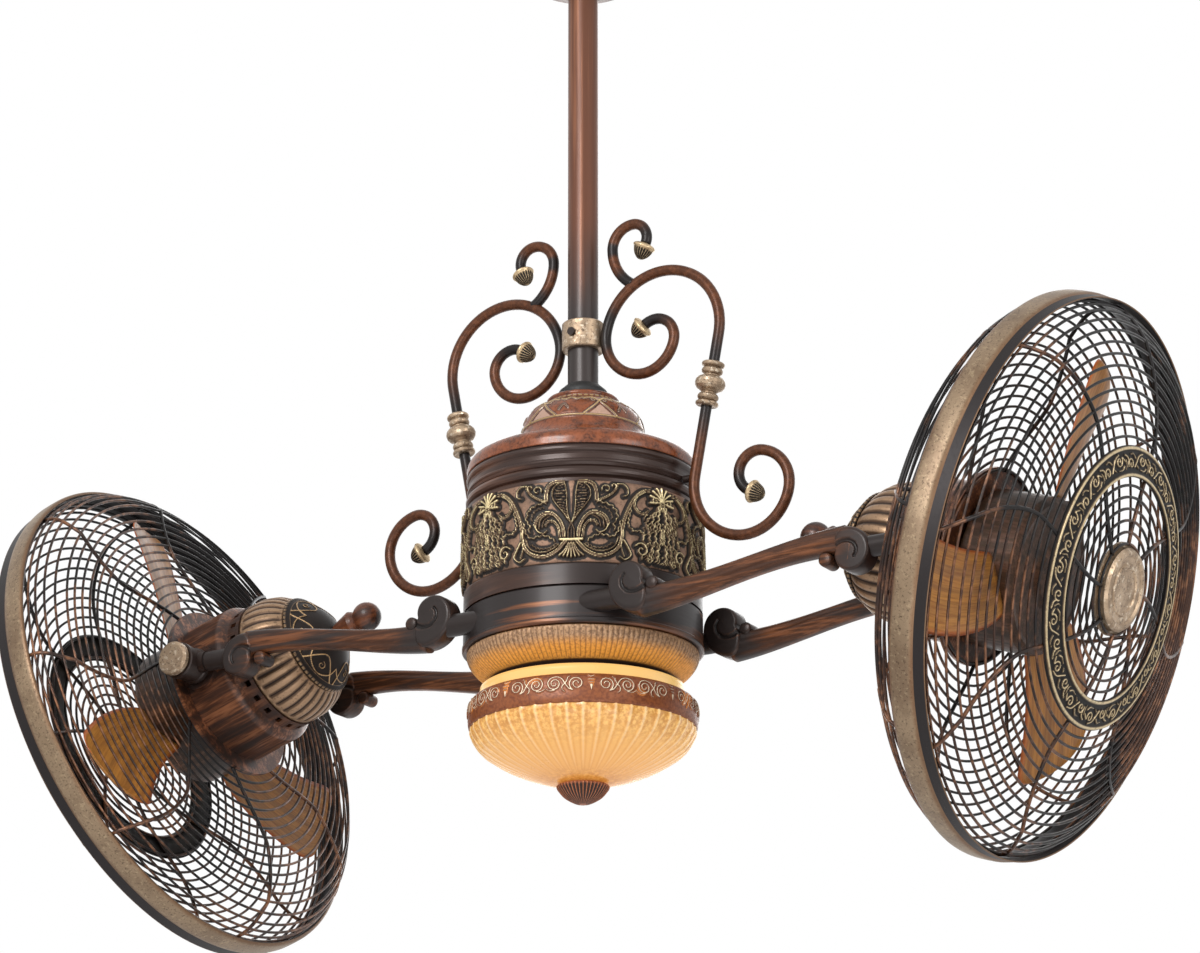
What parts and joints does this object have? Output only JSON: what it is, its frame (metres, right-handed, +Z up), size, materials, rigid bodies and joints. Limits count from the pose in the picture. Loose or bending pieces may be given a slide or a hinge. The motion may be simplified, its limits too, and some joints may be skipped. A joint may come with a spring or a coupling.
{
  "type": "twin head ceiling fan",
  "caption": "Ornate ceiling fan: two caged fan heads on paired scroll arms turn about a lit central body hung from a rod; the heads tilt and are held by sprung pull knobs.",
  "frame": {"origin": "on the ceiling plane, on the axis of the rod, between the two ceiling screw holes", "axes": "+Z up along the rod, +X to the right and -Y towards the viewer of the picture"},
  "size_m": [1.0182, 0.848, 0.8997],
  "materials": {
    "ceiling_metal": "satin",
    "walnut_metal": "semi-gloss streaked walnut brown",
    "black_bronze": "satin black bronze",
    "champagne": "speckled antique champagne",
    "rubber": "matt",
    "leather_brown": "satin red-brown",
    "dark_brown": "satin dark brown",
    "antique_brass": "antiqued",
    "tan_pan": "satin tan",
    "amber_glass": "frosted amber",
    "bulb_glass": "frosted",
    "ivory": "gloss",
    "steel": "ground",
    "motor_iron": "varnished",
    "copper_brass": "bright",
    "blade": "walnut film, satin",
    "knob_wood": "stained"
  },
  "bodies": {
    "housing": {"ceiling_bracket": "ceiling_metal", "canopy": "dark_brown", "ceiling_screws": "champagne", "hanger_ball": "steel", "downrod": "walnut_metal", "scroll_clamp": "champagne", "scroll_screws": "black_bronze", "scroll_right": "black_bronze", "scroll_left": "black_bronze", "scroll_fittings": "champagne", "scroll_finials": "antique_brass", "rod_boot": "rubber", "cap": "leather_brown", "coupling": "steel", "crown": "dark_brown", "ornate_band": "antique_brass", "base_ring": "dark_brown", "centre_shaft": "steel", "drive_stator": "motor_iron", "light_pan": "tan_pan", "lamp_holders": "ivory", "bulbs": "bulb_glass", "glass_shade": "amber_glass", "shade_band": "leather_brown", "finial": "dark_brown"},
    "carousel": {"turning_ring": "black_bronze", "ring_bearings": "steel", "drive_rotor": "steel", "slip_ring": "copper_brass", "arm_right_near": "walnut_metal", "arm_right_far": "walnut_metal", "arm_left_near": "walnut_metal", "arm_left_far": "walnut_metal", "knuckles": "black_bronze"},
    "right_knob": {"pull_knob_right": "champagne"},
    "left_knob": {"pull_knob_left": "champagne"},
    "right_head": {"right_motor_housing": "walnut_metal", "right_motor_stator": "motor_iron", "right_reeded_dome": "champagne", "right_rear_cap": "black_bronze", "right_handle": "knob_wood", "right_rear_grille": "black_bronze", "right_front_grille": "black_bronze", "right_cage_band": "champagne", "right_ornament_ring": "antique_brass", "right_medallion": "champagne"},
    "left_head": {"left_motor_housing": "walnut_metal", "left_motor_stator": "motor_iron", "left_reeded_dome": "champagne", "left_rear_cap": "black_bronze", "left_handle": "knob_wood", "left_rear_grille": "black_bronze", "left_front_grille": "black_bronze", "left_cage_band": "champagne", "left_ornament_ring": "antique_brass", "left_medallion": "champagne"},
    "right_fan": {"right_fan_rotor": "black_bronze", "right_fan_blades": "blade"},
    "left_fan": {"left_fan_rotor": "black_bronze", "left_fan_blades": "blade"}
  },
  "joints": [
    {"name": "carousel_spin", "type": "hinge", "parent": "housing", "child": "carousel", "pos_m": [0, 0, -0.66485], "axis": [0, 0, 1], "continuous": true},
    {"name": "right_head_tilt", "type": "hinge", "parent": "carousel", "child": "right_head", "pos_m": [0.30451, -0.18442, -0.65885], "axis": [0.518, 0.8554, 0], "range_deg": [-18, 30]},
    {"name": "right_fan_spin", "type": "hinge", "parent": "right_head", "child": "right_fan", "pos_m": [0.30451, -0.18442, -0.65885], "axis": [0.8135, -0.4927, -0.309], "continuous": true},
    {"name": "right_knob_pull", "type": "slide", "parent": "carousel", "child": "right_knob", "axis": [0.518, 0.8554, 0], "range_m": [0, 0.004], "stiffness_N_per_m": 1500, "springref_m": -0.002},
    {"name": "left_head_tilt", "type": "hinge", "parent": "carousel", "child": "left_head", "pos_m": [-0.30451, 0.18442, -0.65885], "axis": [-0.518, -0.8554, 0], "range_deg": [-18, 30]},
    {"name": "left_fan_spin", "type": "hinge", "parent": "left_head", "child": "left_fan", "pos_m": [-0.30451, 0.18442, -0.65885], "axis": [-0.8135, 0.4927, -0.309], "continuous": true},
    {"name": "left_knob_pull", "type": "slide", "parent": "carousel", "child": "left_knob", "axis": [-0.518, -0.8554, 0], "range_m": [0, 0.004], "stiffness_N_per_m": 1500, "springref_m": -0.002}
  ]
}
